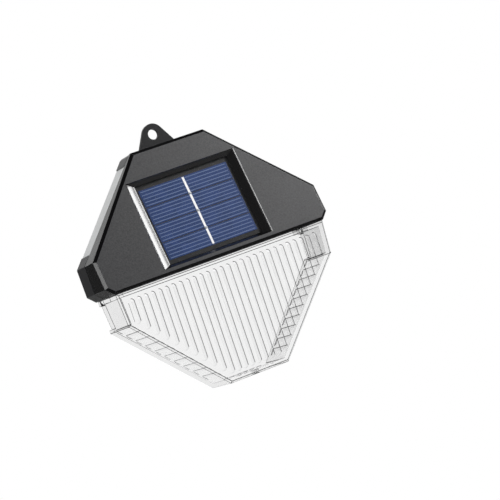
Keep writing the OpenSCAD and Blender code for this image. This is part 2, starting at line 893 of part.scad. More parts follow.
module battery_contact() {
    color("#c9cbd0") lamp() {
        contact_plate(tray_l / 2 - contact_t);
        translate([battery_x1, -battery_d, battery_z]) rotate([0, 90, 0])
            cylinder(h = dimple_h + contact_t / 2, r = dimple_r);
    }
}

module battery_spring() {
    x0 = contact_t - tray_l / 2 + spring_wire / 2;
    x1 = battery_x0 - spring_wire / 2;
    steps = 8 * spring_turns;
    pts = [
        for (k = [0:steps])
            let(a = 360 * k * spring_turns / steps, r = spring_r0 + (spring_r1 - spring_r0) * k / steps)
            [x0 + (x1 - x0) * k / steps, r * cos(a) - battery_d, battery_z + r * sin(a)]
    ];
    color("#c9cbd0") lamp() {
        contact_plate(-tray_l / 2);
        tube(pts, unit(pts[1] - pts[0]), unit(pts[steps] - pts[steps - 1]), spring_wire / 2, 6);
    }
}

module tray_screws() {
    color("#b8bbbf") lamp() for (s = [-1, 1])
        screw(s * ear_x, battery_z, ear_d + ear_t + small_head_h, small_head_r, small_head_h,
            small_screw_r, ear_t + ear_d - wall - fit, true);
}

// Control board and what stands on it

board_front = board_d + board_t;

module control_board() {
    color("#1e5b3a") lamp() difference() {
        block([-board_w / 2, board_d, board_z], [board_w / 2, board_front, board_z + board_h]);
        both_sides() bar(post_x, post_z, board_d - over, board_front + over, small_screw_r + fit);
    }
}

// Place on the board, at shares of its width and height from its lower left corner
function board_at(shares) = [(shares[0] - 0.5) * board_w, board_z + shares[1] * board_h];

// Box on the board's rear face, of size [x, z, height], centred on a place in x and z
module on_board(at, size) {
    x = at[0];
    z = at[1];
    block([x - size[0] / 2, board_d - size[2], z - size[1] / 2],
        [x + size[0] / 2, board_d, z + size[1] / 2]);
}

module controller_chip() {
    color("#1b1b1d") lamp() {
        on_board(board_at(chip_shares), chip_size);
        for (k = [-1.5:1.5])
            on_board(
                board_at(chip_shares) + [0, k * lead_pitch],
                [chip_size[0] + 2 * lead_out, lead_w, lead_t]
            );
    }
}

module inductor() {
    x = board_at(coil_shares)[0];
    z = board_at(coil_shares)[1];
    d = board_d - coil_r - coil_wire;
    reach = coil_l / 2 + 3 * coil_wire;
    color("#3f7f57") lamp() {
        translate([x - coil_l / 2, -d, z]) rotate([0, 90, 0]) cylinder(h = coil_l, r = coil_r);
        translate([x - reach, -d, z]) rotate([0, 90, 0]) cylinder(h = 2 * reach, r = coil_wire);
        for (s = [-1, 1]) bar(x + s * reach, z, d - coil_wire, board_d, coil_wire);
    }
}

module capacitor() {
    at = board_at(cap_shares);
    color("#23252a") lamp() {
        bar(at[0], at[1], board_d - cap_h, board_d - cap_foot, cap_r);
        bar(at[0], at[1], board_d - cap_h / 2, board_d, cap_r - cap_foot);
    }
}

module chip_resistors() {
    color("#26262a") lamp() for (k = chip_r_z_shares) on_board(board_at([chip_r_x_share, k]), chip_r_size);
}

module board_screws() {
    color("#b8bbbf") lamp() for (s = [-1, 1])
        screw(s * post_x, post_z, board_front + small_head_h, small_head_r, small_head_h,
            small_screw_r, small_screw_l, true);
}

module side_leds() {
    x = board_w / 2 - side_led_size[0] / 2 - side_led_inset;
    color("#f2e9b8") lamp() for (s = [-1, 1])
        on_board([s * x, board_top - side_led_drop], side_led_size);
}

// Push switch

module switch_body() {
    color("#1f2023") lamp() difference() {
        on_board([0, switch_z], [switch_w, switch_w, switch_h]);
        bar(0, switch_z, board_d - switch_h - over,
            board_d - switch_h + plunger_depth + button_travel + fit, plunger_r + slide_fit);
    }
}

module switch_plunger() {
    color("#d8d8d4") lamp()
        bar(0, switch_z, flange_d + flange_t, board_d - switch_h + plunger_depth, plunger_r);
}

// Push button with a flange behind the wall of the well
module button_cap() {
    r = button_r;
    tip = well_depth - button_proud;
    color("#4a4b4e") lamp() translate([0, -tip, switch_z]) rotate([90, 0, 0]) rotate_extrude()
        polygon([
            [0, 0], [r - button_edge, 0], [r, button_edge], [r, flange_d - tip],
            [r + flange_over, flange_d - tip], [r + flange_over, flange_d + flange_t - tip],
            [0, flange_d + flange_t - tip]
        ]);
}

// Lamps

module led_board() {
    z = led_board_z;
    color("#e9e9e4") lamp() difference() {
        block([-led_board_w / 2, led_mid_d - led_board_d / 2, z],
            [led_board_w / 2, led_mid_d + led_board_d / 2, z + led_board_t]);
        both_sides() translate([standoff_x, -led_mid_d, z - over])
            cylinder(h = led_board_t + 2 * over, r = small_screw_r + fit);
    }
}

module leds() {
    color("#f2e9b8") lamp() for (k = [0:led_count - 1]) {
        x = (k - (led_count - 1) / 2) * led_pitch;
        block([x - led_w / 2, led_mid_d - led_d / 2, led_board_z - led_h],
            [x + led_w / 2, led_mid_d + led_d / 2, led_board_z]);
    }
}

module led_board_screws() {
    top = led_board_z + led_board_t;
    l = top - wall - fit;
    color("#b8bbbf") lamp() for (s = [-1, 1]) translate([s * standoff_x, -led_mid_d, top]) {
        difference() {
            cylinder(h = small_head_h, r = small_head_r);
            for (a = [0, 90]) rotate([0, 0, a])
                translate([-small_head_r / 2, -small_head_r / 9, small_head_h / 2])
                    cube([small_head_r, small_head_r * 2 / 9, small_head_h]);
        }
        translate([0, 0, -l]) cylinder(h = l + small_head_h / 4, r = small_screw_r);
    }
}

// Leads

// Place on the back of the solar panel, at height u up the slope
function panel_back_at(x, u) = [
    x, base_d - u * sin(tilt) - panel_back * cos(tilt), u * cos(tilt) - panel_back * sin(tilt)
];

module panel_lead(s) {
    bend = 2.2 * lead_dia;
    a = panel_back_at(s * panel_lead_x, panel_mid + panel_l / 6);
    b = [s * panel_lead_x, board_front, board_z + board_h - 2 * lead_dia];
    lead(a, bend * [0, cos(tilt), -sin(tilt)], b, bend * [0, 1, 0]);
}

module panel_lead_red() {
    color("#b3261e") lamp() panel_lead(1);
}

module panel_lead_black() {
    color("#1b1b1d") lamp() panel_lead(-1);
}

module battery_lead(s) {
    reach = 4 * lead_dia;
    a = [s * (tray_l / 2 - contact_t / 2), tab_d, tray_top + contact_tab_rise];
    b = [s * (board_w / 2 - 2 * lead_dia), board_d, board_z + board_h / 3];
    lead(a, reach * [0, 0, 1], b, reach * [0, -1, 0]);
}

module battery_lead_red() {
    color("#b3261e") lamp() battery_lead(1);
}

module battery_lead_black() {
    color("#1b1b1d") lamp() battery_lead(-1);
}

module led_lead(s) {
    a = [s * (standoff_x - 2.5 * lead_dia), led_mid_d, led_board_z + led_board_t];
    b = [s * (board_w / 2 - 3 * lead_dia), board_front, board_z + 2 * lead_dia];
    lead(a, [0, 0, battery_r * 7 / 2], b, 2 * lead_dia * [0, 1, 0]);
}

module led_lead_red() {
    color("#b3261e") lamp() led_lead(1);
}

module led_lead_black() {
    color("#1b1b1d") lamp() led_lead(-1);
}

front_housing();
rear_cover();
housing_seal();
housing_screws();
lens();
light_window();
side_window_left();
side_window_right();
panel_adhesive();
panel_cover();
solar_cells();
bus_bars();
solar_board();
battery_tray();
battery_cell();
battery_contact();
battery_spring();
tray_screws();
control_board();
controller_chip();
inductor();
capacitor();
chip_resistors();
board_screws();
switch_body();
switch_plunger();
button_cap();
led_board();
leds();
side_leds();
led_board_screws();
panel_lead_red();
panel_lead_black();
battery_lead_red();
battery_lead_black();
led_lead_red();
led_lead_black();
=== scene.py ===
import math

import bmesh
import bpy
from mathutils import Matrix, Vector


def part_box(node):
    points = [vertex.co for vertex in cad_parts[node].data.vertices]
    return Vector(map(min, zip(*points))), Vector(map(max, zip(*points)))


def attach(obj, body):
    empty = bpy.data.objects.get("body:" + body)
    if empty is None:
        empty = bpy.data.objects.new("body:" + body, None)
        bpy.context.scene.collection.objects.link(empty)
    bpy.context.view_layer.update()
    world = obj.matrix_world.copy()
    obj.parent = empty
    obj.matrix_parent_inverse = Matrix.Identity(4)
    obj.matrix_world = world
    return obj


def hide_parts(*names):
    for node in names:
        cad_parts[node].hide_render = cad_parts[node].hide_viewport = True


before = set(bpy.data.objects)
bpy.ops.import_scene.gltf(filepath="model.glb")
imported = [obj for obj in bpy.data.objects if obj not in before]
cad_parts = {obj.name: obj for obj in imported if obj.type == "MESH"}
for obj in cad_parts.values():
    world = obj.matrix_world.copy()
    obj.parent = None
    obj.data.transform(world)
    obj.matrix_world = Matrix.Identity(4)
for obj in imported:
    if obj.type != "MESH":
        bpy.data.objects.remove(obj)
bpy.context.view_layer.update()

# Camera.
# It stands to the left of the lamp, level with it, and is rolled, so that the lamp leans in the picture.
# Its place, roll and focal length come from a fit to about forty corners of the lamp.
side_turn = math.radians(21.63)
lift_turn = math.radians(-0.79)
roll = math.radians(20.24)
camera_target = Vector((0.02311, 0, -0.05791))
camera_distance = 0.8957
focal_pixels = 2170
picture_pixels = 500
backward = Vector((-math.sin(side_turn) * math.cos(lift_turn), -math.cos(side_turn) * math.cos(lift_turn),
                   math.sin(lift_turn)))
rightward = (-backward).cross(Vector((0, 0, 1))).normalized()
upward = rightward.cross(-backward)
camera_data = bpy.data.cameras.new("camera")
camera_data.sensor_width = 36
camera_data.lens = camera_data.sensor_width * (focal_pixels / picture_pixels)
camera_data.clip_start = 0.01
camera = bpy.data.objects.new("camera", camera_data)
bpy.context.scene.collection.objects.link(camera)
camera.matrix_world = Matrix.Translation(camera_target + backward * camera_distance) @ Matrix((
    rightward * math.cos(roll) - upward * math.sin(roll),
    rightward * math.sin(roll) + upward * math.cos(roll),
    backward,
)).transposed().to_4x4()
bpy.context.scene.camera = camera
bpy.context.scene.view_settings.view_transform = "Standard"


# Studio.
# A pale floor well below the hanging lamp, a soft even room, and three soft boxes round the lamp.
# The room is white where it is seen, also through clear plastic, and gloss finds one white wall in it.
def linear(code, alpha=1.0):
    """An sRGB hex colour as the linear values that a socket takes."""
    parts = [int(code[i:i + 2], 16) / 255 for i in (1, 3, 5)]
    return [c / 12.92 if c <= 0.04045 else ((c + 0.055) / 1.055) ** 2.4 for c in parts] + [alpha]


def add(tree, kind, inputs=None, **settings):
    """A new node, with its settings, and with a value or another node's socket on each named input."""
    made = tree.nodes.new("ShaderNode" + kind)
    for name, value in settings.items():
        setattr(made, name, value)
    for name, value in (inputs or {}).items():
        if isinstance(value, bpy.types.NodeSocket):
            tree.links.new(value, made.inputs[name])
        else:
            made.inputs[name].default_value = value
    return made


def material(name):
    """A new empty material, as its node tree and itself."""
    made = bpy.data.materials.new(name)
    made.use_nodes = True
    made.node_tree.nodes.clear()
    return made.node_tree, made


white = linear("#ffffff")
room_level = 0.5
room_dark = 0.05
wall_direction = (0.46, 0.88, 0.10)
wall_edge = math.cos(math.radians(38))
wall_full = math.cos(math.radians(22))
world = bpy.data.worlds.new("room")
bpy.context.scene.world = world
world.use_nodes = True
room = world.node_tree
room.nodes.clear()
ray = add(room, "LightPath")
place = add(room, "TexCoord")
toward_wall = add(room, "VectorMath", {0: place.outputs["Generated"], 1: wall_direction},
                  operation="DOT_PRODUCT")
by_gloss = add(room, "MapRange", {"Value": toward_wall.outputs["Value"], "From Min": wall_edge,
                                  "From Max": wall_full, "To Min": room_dark},
               interpolation_type="SMOOTHSTEP")
level = add(room, "Mix", {"Factor": ray.outputs["Is Diffuse Ray"], "A": by_gloss.outputs["Result"],
                          "B": room_level}, data_type="FLOAT")
seen = add(room, "Math", {0: ray.outputs["Is Camera Ray"], 1: ray.outputs["Is Transmission Ray"]},
           operation="MAXIMUM")
level = add(room, "Mix", {"Factor": seen.outputs[0], "A": level.outputs["Result"], "B": 1.0},
            data_type="FLOAT")
glow = add(room, "Background", {"Color": white, "Strength": level.outputs["Result"]})
add(room, "OutputWorld", {"Surface": glow.outputs["Background"]})

# The floor is far enough below for the lamp's shadow to be soft and for its edge to stay out of the picture.
floor_z = -0.6
floor_half = 2.5
floor_shape = bmesh.new()
bmesh.ops.create_grid(floor_shape, x_segments=1, y_segments=1, size=floor_half,
                      matrix=Matrix.Translation((0, 0, floor_z)))
floor_mesh = bpy.data.meshes.new("floor")
floor_shape.to_mesh(floor_mesh)
floor_shape.free()
floor = bpy.data.objects.new("floor", floor_mesh)
bpy.context.scene.collection.objects.link(floor)

# Painted board: matt and pale grey, which shows the shadow under the lamp, and lifted to white further out.
# The lift gives no light to the lamp, and gloss sees the board dim, so that the black plastic stays black.
lift_from = 0.4
lift_to = 1.6
lift_most = 0.9
dim_board = 0.15
first_bounce = 1.5
tree, floor_paint = material("painted_board")
ray = add(tree, "LightPath")
place = add(tree, "TexCoord")
reach = add(tree, "VectorMath", {0: place.outputs["Object"], 1: (0, 0, floor_z)}, operation="DISTANCE")
away = add(tree, "MapRange", {"Value": reach.outputs["Value"], "From Min": lift_from, "From Max": lift_to,
                              "To Max": lift_most}, interpolation_type="SMOOTHSTEP")
matt = add(tree, "BsdfDiffuse", {"Color": linear("#d4d4d4")})
lift = add(tree, "Emission", {"Color": white, "Strength": away.outputs["Result"]})
lifted = add(tree, "AddShader", {0: matt.outputs[0], 1: lift.outputs[0]})
first = add(tree, "Math", {0: ray.outputs["Ray Depth"], 1: first_bounce}, operation="LESS_THAN")
gloss = add(tree, "Math", {0: ray.outputs["Is Glossy Ray"], 1: first.outputs[0]}, operation="MULTIPLY")
dim = add(tree, "Emission", {"Color": white, "Strength": dim_board})
paint = add(tree, "MixShader", {0: ray.outputs["Is Diffuse Ray"], 1: lifted.outputs[0], 2: matt.outputs[0]})
paint = add(tree, "MixShader", {0: gloss.outputs[0], 1: paint.outputs[0], 2: dim.outputs[0]})
add(tree, "OutputMaterial", {"Surface": paint.outputs[0]})
floor_mesh.materials.append(floor_paint)


def soft_box(name, toward, distance, width, height, radiance):
    """A soft box of even radiance that faces the lamp from a direction."""
    data = bpy.data.lights.new(name, "AREA")
    data.shape = "RECTANGLE"
    data.size = width
    data.size_y = height
    data.energy = radiance * math.pi * width * height
    box = bpy.data.objects.new(name, data)
    bpy.context.scene.collection.objects.link(box)
    spot = camera_target + Vector(toward).normalized() * distance
    faced = (spot - camera_target).to_track_quat("Z", "Y").to_matrix().to_4x4()
    box.matrix_world = Matrix.Translation(spot) @ faced
    return box


# The front box lights the inclined face, and the left one the end of the housing and the joint's edge.
# The side one only puts a highlight on gloss, so that the pale window at that side keeps its tone.
soft_box("soft_box_front", toward=(0.60, -0.58, 0.55), distance=0.8, width=0.36, height=0.42, radiance=9)
side_box = soft_box("soft_box_side", toward=(0.96, -0.08, 0.25), distance=1.0, width=0.62, height=0.45,
                    radiance=8)
side_box.visible_diffuse = False
soft_box("soft_box_left", toward=(-0.90, -0.30, 0.31), distance=1.0, width=0.17, height=0.45, radiance=9)


# Front housing.
# A shell of black ABS, injection moulded in an etched tool; the solar panel sits behind its window.
# The rear cover's four screws hold it, and the light shines down through its floor.
merge_within = 1e-6
flat_within = math.radians(0.5)
sharp_from = math.radians(20)
smooth_to = math.radians(32)
ease_width = 0.00016
# The places of a shell's finishes in its list.
plain_face, eased_edge, window_frame, side_finish, matt_top = range(5)


def copy_of(name):
    """A merged copy of a CAD node's mesh, with its flat faces whole."""
    made = bmesh.new()
    made.from_mesh(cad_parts[name].data)
    bmesh.ops.remove_doubles(made, verts=made.verts, dist=merge_within)
    bmesh.ops.dissolve_limit(made, angle_limit=flat_within, verts=made.verts, edges=made.edges)
    return made


def facing_out(edge, middle):
    """Whether both faces at an edge look away from the middle of the piece."""
    return all((face.calc_center_median() - middle).dot(face.normal) > 0 for face in edge.link_faces)


def ease_corners(shape, middle):
    """Rounds a shell's sharp outer corners a little, and marks the new faces as eased edges."""
    edges = [e for e in shape.edges if len(e.link_faces) == 2 and e.is_convex
             and e.calc_face_angle() > sharp_from and e.calc_length() > 2 * ease_width
             and facing_out(e, middle)]
    bmesh.ops.bevel(shape, geom=edges, offset=ease_width, offset_type="OFFSET", segments=2, profile=0.5,
                    affect="EDGES", clamp_overlap=True, material=eased_edge)
    return {face for face in shape.faces if face.material_index == eased_edge}


def piece(name, shape, looks, body, slot, *nodes):
    """Turns a finished shape into a piece that rides on a body and stands for CAD nodes."""
    for face in shape.faces:
        face.smooth = True
    for edge in shape.edges:
        finishes = {face.material_index for face in edge.link_faces}
        edge.smooth = (len(edge.link_faces) == 2 and len(finishes) == 1
                       and edge.calc_face_angle() < smooth_to)
    mesh = bpy.data.meshes.new(name)
    shape.to_mesh(mesh)
    shape.free()
    made = bpy.data.objects.new(name, mesh)
    bpy.context.scene.collection.objects.link(made)
    for look in looks:
        mesh.materials.append(look)
    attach(made, body)
    if nodes:
        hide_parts(*nodes)


def dress(look, *nodes):
    """Gives CAD nodes a finish."""
    for name in nodes:
        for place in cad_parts[name].material_slots:
            place.material = look


# Where nearly all of a noise's values lie, and the patches, about 14 mm across, that handling leaves.
noise_low = 0.3
noise_high = 0.7
handling_scale = 70.0


def finish(name, dark, light, grain_mm, smooth, rough, relief_mm, **sockets):
    """Two close tones in a fine grain, a gloss that handling has made uneven, and the grain's relief."""
    tree, made = material(name)
    place = add(tree, "TexCoord")
    grain = add(tree, "TexNoise", {"Vector": place.outputs["Object"], "Scale": 1000 / grain_mm,
                                   "Detail": 2.0, "Roughness": 0.6})
    spread = add(tree, "MapRange", {"Value": grain.outputs["Fac"], "From Min": noise_low,
                                    "From Max": noise_high})
    handling = add(tree, "TexNoise", {"Vector": place.outputs["Object"], "Scale": handling_scale,
                                      "Detail": 4.0})
    blotch = add(tree, "MapRange", {"Value": handling.outputs["Fac"], "From Min": noise_low,
                                    "From Max": noise_high, "To Min": smooth, "To Max": rough})
    tone = add(tree, "Mix", {0: spread.outputs["Result"], 6: linear(dark), 7: linear(light)},
               data_type="RGBA")
    relief = add(tree, "Bump", {"Height": grain.outputs["Fac"], "Strength": 0.6,
                                "Distance": relief_mm / 1000})
    surface = add(tree, "BsdfPrincipled", {"Base Color": tone.outputs[2], "Normal": relief.outputs["Normal"],
                                           "Roughness": blotch.outputs["Result"]})
    for socket, value in sockets.items():
        surface.inputs[socket.replace("_", " ")].default_value = value
    add(tree, "OutputMaterial", {"Surface": surface.outputs[0]})
    return made


# Etched ABS: charcoal and matt, with an even speckle. The grain of a third of a millimetre is drawn about
# twice as coarse, so that it shows.
etched_abs = finish("etched_black_abs", "#222224", "#38383a", grain_mm=0.6, smooth=0.40, rough=0.46,
                    relief_mm=0.04, IOR=1.53)
# Eased-edge ABS: the eased edges, smoother, and lighter than the face as a painted highlight: the thin light
# line that they catch.
edge_highlight_abs = finish("eased_edge_abs_painted_highlight", "#38393b", "#4a4b4e", grain_mm=0.5, smooth=0.24, rough=0.30,
                    relief_mm=0.01, IOR=1.53)
# Polished ABS: the window's frame, near black between clear white highlights; its high IOR is matched to the
# strength of those. The near black, darker than the face's tone, is painted shade in the window's recess.
polished_shaded_abs = finish("polished_black_abs_painted_shade", "#0b0b0c", "#111112", grain_mm=0.6, smooth=0.17, rough=0.21,
                      relief_mm=0.002, IOR=2.0)
# Side ABS: the sides and chamfers, with a satin gloss. Its near black, darker than the face's tone, is
# painted shade where the faces turn from the lamps.
shaded_side_abs = finish("side_black_abs_painted_shade", "#070708", "#0b0b0c", grain_mm=0.6, smooth=0.20, rough=0.24,
                    relief_mm=0.004, IOR=1.45)
# Matt ABS: the flat top, rough enough to stay dark when it is seen at a low angle.
matt_abs = finish("matt_black_abs", "#1c1c1d", "#2a2a2b", grain_mm=0.6, smooth=0.74, rough=0.82,
                  relief_mm=0.04, IOR=1.4)
front_slope = Vector((0, -0.9708, 0.2399))
square_on = 0.96


def by_side(shape, edged):
    """Gives the top the matt finish, and every other face but the front and the back the side one, which on
    the front housing is near black as painted shade.
    """
    for face in shape.faces:
        front_or_back = face.normal.dot(front_slope) >= square_on or abs(face.normal.y) >= square_on
        if face not in edged and not front_or_back:
            face.material_index = matt_top if face.normal.z > square_on else side_finish


shell = copy_of("front_housing")
shell_middle = Vector((0, -0.012, -0.035))
# The window's cove is a quarter arc in the solid. Here it runs in over the panel, close to the cells, on a
# shallow hollow, as the photo shows. A run is 0 at the cove's rim and 1 at its foot.
rim_at = 0.02442
rim_run = 0.085
rim_deep = 0.00031
cove_foot = 0.02182
cove_reach = 0.0010
cove_deep = 0.0018
cove_low, cove_high = -0.056, -0.012
hollow_bow = 0.41
arc_slack = 0.02
inside_rim, past_foot = 0.01, 1.001
face_level = max(vertex.co.dot(front_slope) for vertex in shell.verts)
for vertex in shell.verts:
    run = (rim_at - abs(vertex.co.x)) / (rim_at - cove_foot)
    sunk = face_level - vertex.co.dot(front_slope)
    on_arc = abs((1 - run) ** 2 + (sunk / cove_deep) ** 2 - 1) < arc_slack
    if on_arc and inside_rim < run < past_foot and cove_low < vertex.co.z < cove_high:
        wide = max(run, rim_run)
        hollow = (wide - rim_run) / (1 - rim_run)
        bowed = (1 + hollow_bow) * hollow - hollow_bow * hollow * hollow
        deep = rim_deep + (cove_deep - rim_deep) * bowed
        inward = wide * (rim_at - cove_foot + cove_reach)
        vertex.co.x = math.copysign(rim_at - inward, vertex.co.x)
        vertex.co -= front_slope * (deep - sunk)
edged = ease_corners(shell, shell_middle)
by_side(shell, edged)
# The cove is polished with the rest of the window's frame, from just under the face down to the panel, and
# takes its painted shade. The eased edge at its left rim stays as etched as the face, without the lighter
# painted highlight, so that no light line stands beside the bright cove.
window_half = 0.02452
frame_low, frame_high = -0.0555, -0.0125
frame_top, frame_foot = 0.00005, 0.004
steepest = 0.1
rim_width, rim_sunk = 0.0006, 0.0004
for face in shell.faces:
    spot = face.calc_center_median()
    sunk = face_level - spot.dot(front_slope)
    if not frame_low < spot.z < frame_high:
        continue
    if face in edged:
        if abs(spot.x + rim_at) < rim_width and sunk < rim_sunk:
            face.material_index = plain_face
    elif (abs(spot.x) < window_half and frame_top < sunk < frame_foot
          and face.normal.dot(front_slope) > steepest):
        face.material_index = window_frame
piece("housing_shell", shell, [etched_abs, edge_highlight_abs, polished_shaded_abs, shaded_side_abs, matt_abs], "housing",
      "housing_abs", "front_housing")


# Rear cover.
# The back tray of the same ABS, with the hanging tab and the wells of the screws and the button.
# Its faces are a shade darker than the front's face, and its side band is a dark grey.

# Etched ABS of the tray: a shade darker than the front, with the same speckle.
tray_abs = finish("etched_tray_abs", "#151517", "#222224", grain_mm=0.6, smooth=0.42, rough=0.48,
                  relief_mm=0.04, IOR=1.53)
# Ground ABS of the tray: the side band, a dark grey that stands out from the front's near black.
band_abs = finish("ground_tray_abs", "#28282a", "#323233", grain_mm=0.6, smooth=0.30, rough=0.36,
                  relief_mm=0.008, IOR=1.53)
cover = copy_of("rear_cover")
cover_middle = Vector((0, -0.009, -0.030))
by_side(cover, ease_corners(cover, cover_middle))
piece("cover_shell", cover, [tray_abs, edge_highlight_abs, polished_shaded_abs, band_abs, matt_abs], "housing", "cover_abs",
      "rear_cover")


# Gasket.
# A flat ring of black silicone rubber, cut from sheet.
# It is squeezed in the joint between the two shells.

# Silicone: a dull, soft black that shows as a dark line.
silicone = finish("black_silicone", "#0e0e0f", "#161617", grain_mm=0.4, smooth=0.68, rough=0.78,
                  relief_mm=0.01)
dress(silicone, "housing_seal")


# Side windows.
# Moulded strips of polystyrene that let light out of the slanted sides; the inside is frosted.
# A flange at each end holds them behind the rear cover's wall.

# Frosted polystyrene: milky and almost white, with a soft gloss.
frosted = finish("frosted_polystyrene", "#e4e6e6", "#eceeee", grain_mm=0.5, smooth=0.32, rough=0.42,
                 relief_mm=0.004, IOR=1.59)
dress(frosted, "side_window_left", "side_window_right")


# Solar panel.
# Four strips of polycrystalline silicon on a dark epoxy board, under a clear epoxy coat.
# Fine silver fingers run along each strip and meet the bus bar, which is soldered at each gap.

# Heights along Z: from one strip to the next, and the share of that which silicon fills.
strip_pitch = 0.00764
strip_share = 0.9555
fingers_per_strip = 5
crystal_mm = 5.0
# A finger is printed fully this share of its pitch from its middle, and has faded out at the second share.
finger_core, finger_edge = 0.02, 0.20
finger_margin = 0.0007
cell_low, cell_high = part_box("solar_cells")
# Polycrystalline silicon: a deep blue in crystals of about five millimetres, each a slightly different blue.
# The printed fingers are a tenth of a millimetre wide in life and drawn about three times as wide, to show.
tree, cell_silicon = material("polycrystalline_silicon")
place = add(tree, "TexCoord")
spot = add(tree, "SeparateXYZ", {0: place.outputs["Object"]})
crystal = add(tree, "TexVoronoi", {"Vector": place.outputs["Object"], "Scale": 1000 / crystal_mm})
crystal_tone = add(tree, "SeparateColor", {0: crystal.outputs["Color"]})
blue = add(tree, "Mix", {0: crystal_tone.outputs[0], 6: linear("#253964"), 7: linear("#2b4070")},
           data_type="RGBA")
finger_pitch = strip_pitch * strip_share / fingers_per_strip
along = add(tree, "MapRange", {"Value": spot.outputs["Z"], "From Min": cell_low[2],
                               "From Max": cell_low[2] + finger_pitch}, clamp=False)
within = add(tree, "Math", {0: along.outputs["Result"], 1: fingers_per_strip / strip_share},
             operation="FLOORED_MODULO")
phase = add(tree, "Math", {0: within.outputs[0]}, operation="FRACT")
off_middle = add(tree, "Math", {0: phase.outputs[0], 1: 0.5}, operation="SUBTRACT")
from_middle = add(tree, "Math", {0: off_middle.outputs[0]}, operation="ABSOLUTE")
finger = add(tree, "MapRange", {"Value": from_middle.outputs[0], "From Min": finger_core,
                                "From Max": finger_edge, "To Min": 1.0, "To Max": 0.0},
             interpolation_type="SMOOTHSTEP")
across = add(tree, "Math", {0: spot.outputs["X"]}, operation="ABSOLUTE")
short = add(tree, "Math", {0: across.outputs[0], 1: cell_high[0] - finger_margin}, operation="LESS_THAN")
print_on = add(tree, "Math", {0: finger.outputs["Result"], 1: short.outputs[0]}, operation="MULTIPLY")
colour = add(tree, "Mix", {0: print_on.outputs[0], 6: blue.outputs[2], 7: linear("#5e7098")},
             data_type="RGBA")
gloss = add(tree, "MapRange", {"Value": print_on.outputs[0], "To Min": 0.32, "To Max": 0.5})
surface = add(tree, "BsdfPrincipled", {"Base Color": colour.outputs[2], "Specular IOR Level": 0.15,
                                       "Roughness": gloss.outputs["Result"]})
add(tree, "OutputMaterial", {"Surface": surface.outputs[0]})
dress(cell_silicon, "solar_cells")


def soft_grain(name, dark, light, grain_mm, detail=2.0, relief_mm=0.0, **sockets):
    """Two tones that run into each other in a grain, with one even gloss, and relief where it is given."""
    tree, made = material(name)
    place = add(tree, "TexCoord")
    grain = add(tree, "TexNoise", {"Vector": place.outputs["Object"], "Scale": 1000 / grain_mm,
                                   "Detail": detail})
    tone = add(tree, "Mix", {0: grain.outputs["Fac"], 6: linear(dark), 7: linear(light)}, data_type="RGBA")
    inputs = {"Base Color": tone.outputs[2]}
    if relief_mm:
        relief = add(tree, "Bump", {"Height": grain.outputs["Fac"], "Strength": 0.3,
                                    "Distance": relief_mm / 1000})
        inputs["Normal"] = relief.outputs["Normal"]
    surface = add(tree, "BsdfPrincipled", inputs)
    for socket, value in sockets.items():
        surface.inputs[socket.replace("_", " ")].default_value = value
    add(tree, "OutputMaterial", {"Surface": surface.outputs[0]})
    return made


# Silver paste, printed and tinned: dull, granular and almost white.
silver_paste = soft_grain("tinned_silver_paste", "#e2e2e4", "#ffffff", grain_mm=0.2, relief_mm=0.03,
                          Roughness=0.45, Metallic=0.15)
dress(silver_paste, "bus_bars")

# Solder: three flat grey beads where the bar crosses the gaps, a little darker than the bar.
solder = soft_grain("dull_solder", "#86898f", "#b9bcc2", grain_mm=0.4, Roughness=0.4, Metallic=0.5)
panel_tilt = math.radians(13.88)
bead_radius = 0.00055
bead_form = (1.3, 0.3, 1.0, 1)
bar_low, bar_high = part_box("bus_bars")
bar_middle = Vector((0, (bar_low[1] + bar_high[1]) / 2, (bar_low[2] + bar_high[2]) / 2))
up_panel = Vector((0, math.sin(panel_tilt), math.cos(panel_tilt)))
on_panel = Matrix.Rotation(-panel_tilt, 4, "X")
beads = bmesh.new()
for gap in (-1, 0, 1):
    at = bar_middle + up_panel * gap * strip_pitch / math.cos(panel_tilt)
    bmesh.ops.create_uvsphere(beads, u_segments=20, v_segments=10, radius=bead_radius,
                              matrix=Matrix.Translation(at) @ on_panel @ Matrix.Diagonal(bead_form))
piece("solder_beads", beads, [solder], "housing", "tinned_bus")

# Solder mask on the epoxy board, and the black foam that seals the panel in: a dull brownish black that
# frames the cells.
board_mask = soft_grain("black_solder_mask", "#2b2a29", "#383736", grain_mm=0.8, detail=3.0, Roughness=0.45,
                        Specular_IOR_Level=0.3)
dress(board_mask, "solar_board", "panel_adhesive")

# Epoxy coat, poured over the cells: clear, so that the fingers stay sharp, with a faint uneven haze.
epoxy_coat = soft_grain("clear_epoxy_coat", "#b4bdd0", "#e4e8f0", grain_mm=9.0, Roughness=0.25, Alpha=0.01)
dress(epoxy_coat, "panel_cover")


# Lens.
# A tray of clear polystyrene, injection moulded in one piece and open at the back, snapped into the housing.
# Hollow flutes with round heads run down the inside of its front wall and spread the light.
def passing_shadow(tree, surface, code):
    """Lets light through a clear piece: its shadow is only a tint."""
    ray = add(tree, "LightPath")
    through = add(tree, "BsdfTransparent", {"Color": linear(code)})
    mixed = add(tree, "MixShader", {0: ray.outputs["Is Shadow Ray"], 1: surface.outputs[0],
                                    2: through.outputs[0]})
    add(tree, "OutputMaterial", {"Surface": mixed.outputs[0]})


